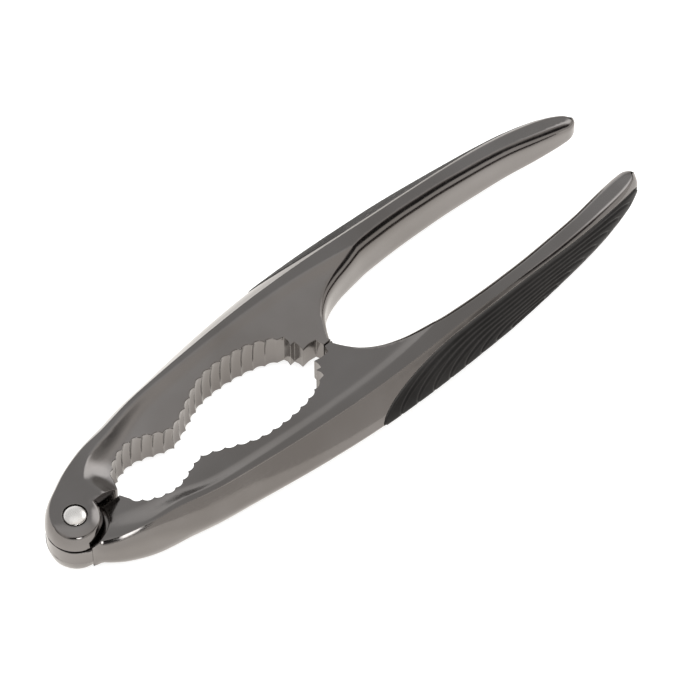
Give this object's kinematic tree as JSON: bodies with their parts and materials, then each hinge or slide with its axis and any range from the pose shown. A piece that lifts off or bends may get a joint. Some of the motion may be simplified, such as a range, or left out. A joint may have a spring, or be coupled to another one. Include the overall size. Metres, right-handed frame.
{
  "type": "lever nutcracker",
  "caption": "Hinged lever nutcracker with two serrated nut nests, a rivet-pinned clevis hinge and ridged leaf-shaped handle grips.",
  "frame": {"origin": "on the hinge axis at the underside, the centre of the pin's flat riveted tail", "axes": "+X along the closed levers from the hinge to the handle tips, +Y towards the fork lever, +Z along the hinge axis out of the pin's domed head"},
  "size_m": [0.1602, 0.0464, 0.0143],
  "materials": {
    "fork_casting": "polished gunmetal plating",
    "tongue_casting": "polished gunmetal plating",
    "pin_steel": "bright turned",
    "fork_grip": "satin moulded",
    "tongue_grip": "satin moulded"
  },
  "bodies": {
    "fork_side": {"fork_lever": "fork_casting", "hinge_pin": "pin_steel", "fork_grip": "fork_grip"},
    "tongue_side": {"tongue_lever": "tongue_casting", "tongue_grip": "tongue_grip"}
  },
  "joints": [
    {"name": "lever_hinge", "type": "hinge", "parent": "fork_side", "child": "tongue_side", "pos_m": [0, 0, 0.0069], "axis": [0, 0, -1], "range_deg": [0, 110]}
  ]
}
